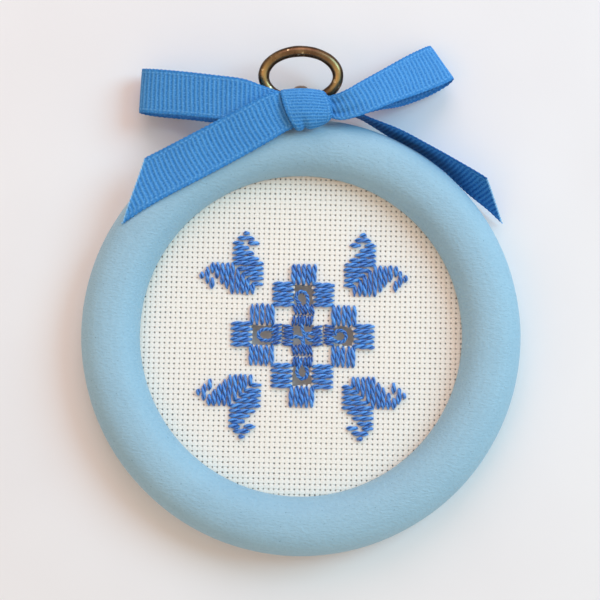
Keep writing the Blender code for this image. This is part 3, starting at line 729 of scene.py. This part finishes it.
def twisted(shape, path, width, turn, phase, flat=0.86, sides=8):
    """Two plies twisted round each other along the path. width is one number for each point."""
    tangent = np.gradient(path, axis=0)
    level = unit(tangent * (1, 1, 0))
    side = np.stack([-level[:, 1], level[:, 0], 0 * level[:, 0]], axis=1)
    up = unit(np.cross(tangent, side))
    far = distances(path)
    ring = np.linspace(0, 2 * math.pi, sides, endpoint=False)
    outwards, sideways = 0.24 + 0.245 * np.cos(ring), 0.31 * np.sin(ring)
    for ply in (0, math.pi):
        angle = (phase + ply - 2 * math.pi * far / turn)[:, None]
        across = outwards * np.cos(angle) - sideways * np.sin(angle)
        height = (outwards * np.sin(angle) + sideways * np.cos(angle)) * flat
        section = np.stack([across, height], axis=-1) * width[:, None, None]
        fibre = ring + 1.1 * far[:, None]
        # outness places the painted shade between the plies.
        outness = np.hypot(outwards, sideways)
        marks = np.stack([np.broadcast_to(far[:, None] + 17 * phase + 5 * ply, fibre.shape),
                          np.cos(fibre) * 0.3, np.broadcast_to(outness, fibre.shape)], axis=-1)
        shape.sweep(path, side, up, section, marks)


def stitch(shape, start, end, top, width=STITCH_WIDTH, taper=0.6, steps=22, turn=4.5):
    """One straight stitch between two holes of the cloth, given in threads."""
    jitter = 0.05 * chance.standard_normal((2, 2))
    start = embroidered(*(np.array(start) + jitter[0]))
    end = embroidered(*(np.array(end) + jitter[1]))
    v = np.sin(np.linspace(-math.pi / 2, math.pi / 2, steps))
    length = np.linalg.norm(end - start)
    reach = 1 + 0.10 / max(length, 1)
    flat = start + (end - start) * ((v * reach + 1) / 2)[:, None]
    blunt = max(4.0, 2.2 * length)
    height = CLOTH_MIDDLE + (top - CLOTH_MIDDLE) * (1 - np.abs(v) ** blunt)
    path = np.concatenate([flat, height[:, None]], axis=1)
    wide = width * (1 + 0.05 * chance.standard_normal())
    taper_to = 1 - taper * np.abs(v) ** max(2.6, 1.1 * length)
    twisted(shape, path, wide * taper_to, turn * (1 + 0.08 * chance.standard_normal()),
            chance.uniform(0, math.pi))


def add_blocks(thread):
    """Twelve satin blocks, numbered as in the frame: the last six mirror the first six."""
    number = 0
    for sign in (1, -1):
        for column, row, along_y in BLOCKS:
            number += 1
            sideways = column > 1
            x = UNIT * column * (sign if sideways else 1)
            y = UNIT * row * (1 if sideways else sign)
            shape = Shape()
            for place in range(-2, 3):
                if along_y:
                    ends = (x + place, y - 2), (x + place, y + 2)
                else:
                    ends = (x - 2, y + place), (x + 2, y + place)
                stitch(shape, *ends, STITCH_TOP)
            name = "stitch_block_%02d" % number
            shape.piece("satin_block_%02d" % number, thread, "inner_frame", "blue_thread", name)


def add_motifs(thread):
    """Four corner motifs, each of two arms that meet along the diagonal."""
    for corner, (side_x, side_y) in CORNERS.items():
        for arm in ("upright", "level"):
            shape = Shape()
            for row, start, end in MOTIF_STITCHES:
                ends = [(start, row), (end, row)]
                if arm == "level":
                    ends = [place[::-1] for place in ends]
                ends = [(x * side_x, y * side_y) for x, y in ends]
                stitch(shape, *ends, STITCH_TOP)
            name = "motif_" + corner + "_" + arm
            shape.piece("satin_" + name, thread, "inner_frame", "blue_thread", name)


def add_bars(thread):
    """Each bar is woven over and under in two rows of short slanting stitches."""
    for name, (column, row) in BARS.items():
        shape = Shape()
        across = np.array([column, row], float)
        along = np.array([abs(row), abs(column)], float)
        middle = across * UNIT
        for half in (1, -1):
            for k in range(BAR_STITCHES):
                place = (k - (BAR_STITCHES - 1) / 2) * BAR_STITCH_PITCH + 0.10 * half
                inner = middle + along * (place + BAR_SLANT) + across * BAR_INNER * half
                outer = middle + along * (place - BAR_SLANT) + across * BAR_OUTER * half
                stitch(shape, inner, outer, STITCH_TOP - 0.1, width=0.86, taper=0.4, steps=14,
                       turn=3.2)
        shape.piece("woven_" + name, thread, "inner_frame", "blue_thread", "woven_bar_" + name)


# Each picot's route, in millimetres: along the way out from its bar's edge, and across it.
PICOTS = {
    "top": [(-1.2, -0.9), (0.1, -0.95), (1.4, -1.0), (2.5, -0.6), (3.05, 0.35), (2.7, 1.3),
            (1.7, 1.7), (0.8, 1.3), (0.3, 0.6)],
    "bottom": [(-1.6, -0.3), (-0.3, -0.5), (0.9, -1.1), (2.1, -0.95), (2.9, 0.0), (2.5, 1.0),
               (1.4, 1.25), (0.3, 0.9), (-0.5, 0.5)],
    "left": [(-0.9, -1.1), (0.3, -1.2), (1.7, -1.2), (2.8, -0.7), (3.1, 0.3), (2.4, 1.15),
             (1.2, 1.35), (0.1, 1.2), (-0.9, 0.9)],
    "right": [(-1.4, -0.9), (-0.3, -0.7), (0.8, -1.3), (2.1, -1.3), (2.9, -0.3), (2.5, 0.9),
              (1.3, 1.3), (0.5, 0.8), (0.4, 0.1)],
}

# The strands across the middle square, in millimetres from its middle.
FILLING = [
    [(-0.2, 2.75), (-0.1, 1.3), (0.55, 0.1), (1.5, -0.9), (2.75, -1.2)],
    [(-2.75, -0.6), (-1.5, -0.3), (-0.4, -0.7), (0.2, -1.6), (0.5, -2.75)],
    [(2.75, 0.3), (1.6, 0.5), (0.7, 0.2), (0.2, -0.8), (-0.1, -2.75)],
]


def add_picots_and_filling(thread):
    """A loop of thinner thread on each bar, and three strands of it across the middle square."""
    for name, (column, row) in BARS.items():
        edge = np.array([column, row], float) * 1.5 * UNIT
        out, across = np.array([column, row], float), np.array([-row, column], float)
        route = np.array(PICOTS[name]) / THREAD_PITCH
        places = embroidered(*(edge + route[:, :1] * out + route[:, 1:] * across).T)
        rise = np.linspace(0.35, 0.1, len(route)) + CLOTH_TOP
        path = np.concatenate([places, rise[:, None]], axis=1)
        path = evenly(smooth_path(path, 12), 90)
        shape = Shape()
        twisted(shape, path, np.full(len(path), 0.92), 2.0, 0.4)
        shape.piece("picot_loop_" + name, thread, "inner_frame", "blue_thread", "picot_" + name)
    shape = Shape()
    for number, route in enumerate(FILLING):
        places = embroidered(*(np.array(route) / THREAD_PITCH).T)
        rise = CLOTH_TOP + 0.1 + 0.2 * np.array([0.5, 1, -0.6, 0.2, -0.6]) * (-1) ** number
        path = np.concatenate([places, rise[:, None]], axis=1)
        path = evenly(smooth_path(path, 12), 60)
        twisted(shape, path, np.full(len(path), 0.9), 2.2, 0.9 * number)
    shape.piece("dove_eye_filling", thread, "inner_frame", "blue_thread", "middle_filling")


# ---------------------------------------------------------------- ribbon

def ribbon_edges(stations, pitch):
    """Even steps along the ribbon, its two edges there, and how far along each station lies."""
    dense = smooth_path(stations, STATION_STEPS)
    far = distances(dense.mean(axis=1))
    s = np.linspace(0, far[-1], int(round(far[-1] / pitch * RIB_STEPS)) + 1)
    upper, lower = [np.stack([np.interp(s, far, dense[:, k, axis]) for axis in range(3)], axis=1)
                    for k in range(2)]
    return s, upper, lower, far[::STATION_STEPS]


def slanting_cut(s, cut_at, pitch):
    """The share of the ribbon's width that is left at each step, a little frayed past cut_at."""
    reach = np.clip((s[-1] - s) / (s[-1] - cut_at), 0.03, 1)
    fray = 0.014 * np.sin(2 * math.pi * s / pitch * 2) + 0.006 * np.sin(s * 23.0)
    return np.where(reach < 1, np.clip(reach + fray, 0.03, 1), reach)


def ribbon_middle(s, upper, lower, t, beads, crown, pleats):
    """The surface half-way through the ribbon: beaded at its edges, crowned, and pleated."""
    t_out = t + 0.011 * (beads - 0.5) * ((t > 0.985).astype(float) - (t < 0.015))
    middle = lower[:, None] + (upper - lower)[:, None] * t_out[..., None]
    normal = unit(np.cross(np.gradient(middle, axis=0), (upper - lower)[:, None]))
    middle = middle + normal * (crown * (1 - (2 * t - 1) ** 2))[..., None]
    for place, depth, deepest, end in pleats:
        fold = np.exp(-((t - place) / PLEAT_WIDTH) ** 2) * smoothstep(end, deepest, s)[:, None]
        middle = middle - normal * (depth * fold)[..., None]
    return middle


def ribs_and_selvedges(s, t, reach, beads, bow, pitch):
    """Half the ribbon's thickness at each point, and how light the point is: painted highlight on the
    rib crests, a lighter beaded selvedge line and pale cut ends.
    """
    from_edge = np.minimum(t, 1 - t) * RIBBON_WIDTH
    from_cut = (reach[:, None] - t) * RIBBON_WIDTH
    inside = smoothstep(SELVEDGE - 0.1, SELVEDGE + 0.3, from_edge)
    shifted = s[:, None] + bow * (2 * t - 1) ** 2
    rib = (0.5 + 0.5 * np.cos(2 * math.pi * shifted / pitch)) ** 1.2
    line = np.exp(-((from_edge - SELVEDGE_LINE_AT) / 0.2) ** 2) * (0.15 + 0.85 * beads)
    band = SELVEDGE_HALF_THICKNESS + 0.07 * beads * smoothstep(0.6, 0.3, from_edge)
    ribbed = RIBBON_HALF_THICKNESS + RIB_HEIGHT * pitch / RIB_PITCH * rib
    half = ribbed * inside + band * (1 - inside) + SELVEDGE_LINE_HEIGHT * line
    half = half * (0.35 + 0.65 * smoothstep(-0.05, 0.22, np.minimum(from_edge, from_cut + 0.03)))
    pale = np.where(reach[:, None] < 1, smoothstep(0.75, 0.1, from_cut), 0.0)
    # Painted highlight on the rib crests, lighter along the beaded selvedge line, paler at the cut.
    light = np.maximum.reduce([0.9 * rib**1.6 * inside, 1.3 * line, 1.8 * pale])
    return half, light


def ribbon(name, stations, material, node, cut_from=None, bow=0.0, crown=0.0, pitch=RIB_PITCH,
           pleats=()):
    """A strip of ribbed ribbon through the stations, cut on a slant past one of them.

    A pleat is a place across the ribbon, its depth, and how far along it is deepest and ends.
    """
    s, upper, lower, station_at = ribbon_edges(stations, pitch)
    reach = np.ones_like(s) if cut_from is None else slanting_cut(s, station_at[cut_from], pitch)
    t = ACROSS_RIBBON[None] * reach[:, None]
    beads = 0.5 + 0.5 * np.cos(2 * math.pi * s / pitch)[:, None]
    middle = ribbon_middle(s, upper, lower, t, beads, crown, pleats)
    half, light = ribs_and_selvedges(s, t, reach, beads, bow, pitch)
    normal = unit(np.cross(np.gradient(middle, axis=0), np.gradient(middle, axis=1)))
    front, back = middle + normal * half[..., None], middle - normal * half[..., None]
    marks = np.stack([np.broadcast_to(s[:, None], t.shape), t * RIBBON_WIDTH, light], axis=-1)
    shape = Shape()
    shape.grid(np.concatenate([front, back[:, ::-1]], axis=1),
               np.concatenate([marks, marks[:, ::-1]], axis=1), around=True, ends=False)
    columns = t.shape[1]
    for row in (0, len(s) - 1):
        first, last = row * 2 * columns, (row + 1) * 2 * columns - 1
        for k in range(columns - 1):
            face = [first + k, first + k + 1, last - 1 - k, last - k]
            shape.faces.append(face if row == 0 else face[::-1])
    obj = shape.piece(name, material, "outer_frame", "blue_ribbon", node, sharp=75)


def add_tie_strand(material):
    """The gathered strand of ribbon through the screw eye, which holds the bow."""
    path = evenly(smooth_path(TIE_STRAND, 12), 120)
    tangent = unit(np.gradient(path, axis=0))
    side = unit(np.cross(np.broadcast_to([0, 1.0, 0], path.shape), tangent))
    around = np.linspace(0, 2 * math.pi, 20, endpoint=False)
    far = distances(path)[:, None]
    folds = 1 - 0.22 * (0.5 + 0.5 * np.cos(3 * around + 0.4 * far))
    ribs = 0.05 * np.cos(2 * math.pi * far / RIB_PITCH * 2)
    section = circle(20)[None] * (TIE_STRAND_RADIUS * (folds + ribs))[..., None]
    # The third mark, 0.4, gives the strand an even share of the painted crest highlight.
    marks = np.stack([far + 0 * around, around + 0 * far, 0.4 + 0 * folds], axis=-1)
    shape = Shape()
    shape.sweep(path, side, np.cross(tangent, side), section, marks)
    shape.piece("ribbon_tie_strand", material, "outer_frame", "blue_ribbon", "bow_tie_strand")


def add_bow(material, shaded_ribbon):
    """Two loops, two tails and the knot over them. The right tail has a darker copy of the ribbon's
    colours: painted shade, as that tail stands in the shade.
    """
    ribbon("ribbon_left_loop", LEFT_LOOP, material, "bow_left_loop", bow=0.15,
           pleats=[(0.45, 0.35, 4, 13)])
    ribbon("ribbon_right_loop", RIGHT_LOOP, material, "bow_right_loop", bow=0.4,
           pleats=[(0.28, 0.45, 4, 13), (0.68, 0.35, 4, 12)])
    ribbon("ribbon_left_tail", LEFT_TAIL, material, "bow_left_tail", LEFT_CUT_FROM, bow=0.5)
    ribbon("ribbon_right_tail", RIGHT_TAIL, shaded_ribbon, "bow_right_tail", RIGHT_CUT_FROM, bow=0.3)
    ribbon("ribbon_knot", KNOT, material, "bow_knot", bow=-0.2, crown=0.5, pitch=KNOT_RIB_PITCH,
           pleats=[(0.31, 0.85, 12.5, 8)])
    add_tie_strand(material)


# ---------------------------------------------------------------- floor, light and camera

def add_floor():
    """A wide pale board under the hoop."""
    finish = Finish("pale_board", 0.7)
    grain = finish.noise(finish.place(), 1.4, 3.0, 0.6)
    slow = finish.noise(finish.place(), 0.02, 2.0, 0.5)
    colour = finish.ramp(slow, (0.35, (0.825, 0.815, 0.815)), (0.65, (0.855, 0.85, 0.85)))
    finish.feed("Base Color", colour)
    finish.feed("Normal", finish.bump(grain, 0.05, 0.12))
    half = FLOOR_HALF_WIDTH
    corners = np.array([(-half, -half, 0), (half, -half, 0), (half, half, 0), (-half, half, 0)])
    floor = mesh_object("floor", corners, [(0, 1, 2, 3)])
    floor.data.materials.append(finish.material)


def add_area_light(name, azimuth, elevation, distance, size, power, colour):
    """A round soft light that faces the hoop. Azimuth turns from +X towards +Y."""
    light = bpy.data.lights.new(name, "AREA")
    light.shape = "DISK"
    light.size = size
    light.energy = power
    light.color = colour
    obj = bpy.data.objects.new(name, light)
    bpy.context.scene.collection.objects.link(obj)
    a, e = math.radians(azimuth), math.radians(elevation)
    towards = np.array([math.cos(a) * math.cos(e), math.sin(a) * math.cos(e), math.sin(e)])
    obj.location = HOOP_CENTRE + towards * distance
    obj.rotation_euler = (math.pi / 2 - e, 0, a + math.pi / 2)


def add_light():
    """A cool key light from the upper right, two weak fills and a warm surrounding."""
    add_area_light("key", 24, 41, 1.2, 0.70, 8.8, (0.32, 0.74, 1.0))
    add_area_light("top_fill", 90, 40, 0.7, 0.55, 1.35, (1.0, 0.76, 0.86))
    add_area_light("warm_side", 210, 50, 1.2, 0.45, 0.5, (1.0, 0.25, 0.10))
    world = bpy.data.worlds.new("studio")
    bpy.context.scene.world = world
    world.use_nodes = True
    background = world.node_tree.nodes["Background"]
    background.inputs["Color"].default_value = (1.0, 0.835, 0.69, 1)
    background.inputs["Strength"].default_value = 0.71


def add_camera():
    """The view from the front."""
    towards = np.array([0, -math.sin(CAMERA_LEAN), math.cos(CAMERA_LEAN)])
    camera = bpy.data.objects.new("camera", bpy.data.cameras.new("camera"))
    bpy.context.scene.collection.objects.link(camera)
    camera.location = (CAMERA_TARGET + CAMERA_DISTANCE * towards) * MM + HOOP_CENTRE
    camera.rotation_euler = (CAMERA_LEAN, 0, 0)
    camera.data.angle = CAMERA_ANGLE
    camera.data.clip_start = 0.01
    bpy.context.scene.camera = camera
    bpy.context.scene.view_settings.view_transform = "Standard"


add_camera()
add_hoops(
    painted_wood("hoop_blue_paint", (0.334, 0.556, 0.690), (0.312, 0.527, 0.661),
                 (0.88, 0.90, 0.92), 0.52),
    painted_wood("inner_hoop_paint", (0.80, 0.78, 0.73), (0.74, 0.72, 0.66),
                 (0.93, 0.92, 0.90), 0.55),
)
brass = antique_brass("antique_brass_patina")
add_ring(brass)
add_eye(brass)
add_cloth(fibres("evenweave_cotton", (0.935, 0.91, 0.835), (0.885, 0.85, 0.765), 0.85, 1.5, 0.05,
                 Sheen_Weight=0.1))
perle = fibres("blue_perle_cotton", (0.080, 0.37, 0.92), (0.010, 0.105, 0.46), 0.27, 1.0, 0.12,
               ply_gap_shade=(0.34, 0.42, 0.56), Specular_IOR_Level=0.85)
# A darker copy of the blue perle for the woven bars: painted shade for the tightly packed bars.
shaded_perle = fibres("shaded_perle_cotton", (0.045, 0.235, 0.72), (0.006, 0.062, 0.33), 0.32, 1.0,
                      0.12, ply_gap_shade=(0.20, 0.28, 0.42), Specular_IOR_Level=0.7)
add_blocks(perle)
add_motifs(perle)
add_bars(shaded_perle)
add_picots_and_filling(perle)
add_bow(grosgrain("blue_grosgrain", (0.036, 0.245, 0.62), (0.018, 0.17, 0.49),
                  (0.14, 0.44, 0.82)),
        # A darker copy of the ribbon: painted shade for the right tail.
        grosgrain("blue_grosgrain_shaded", (0.012, 0.165, 0.54), (0.004, 0.095, 0.36),
                  (0.085, 0.39, 0.82)))
add_floor()
add_light()
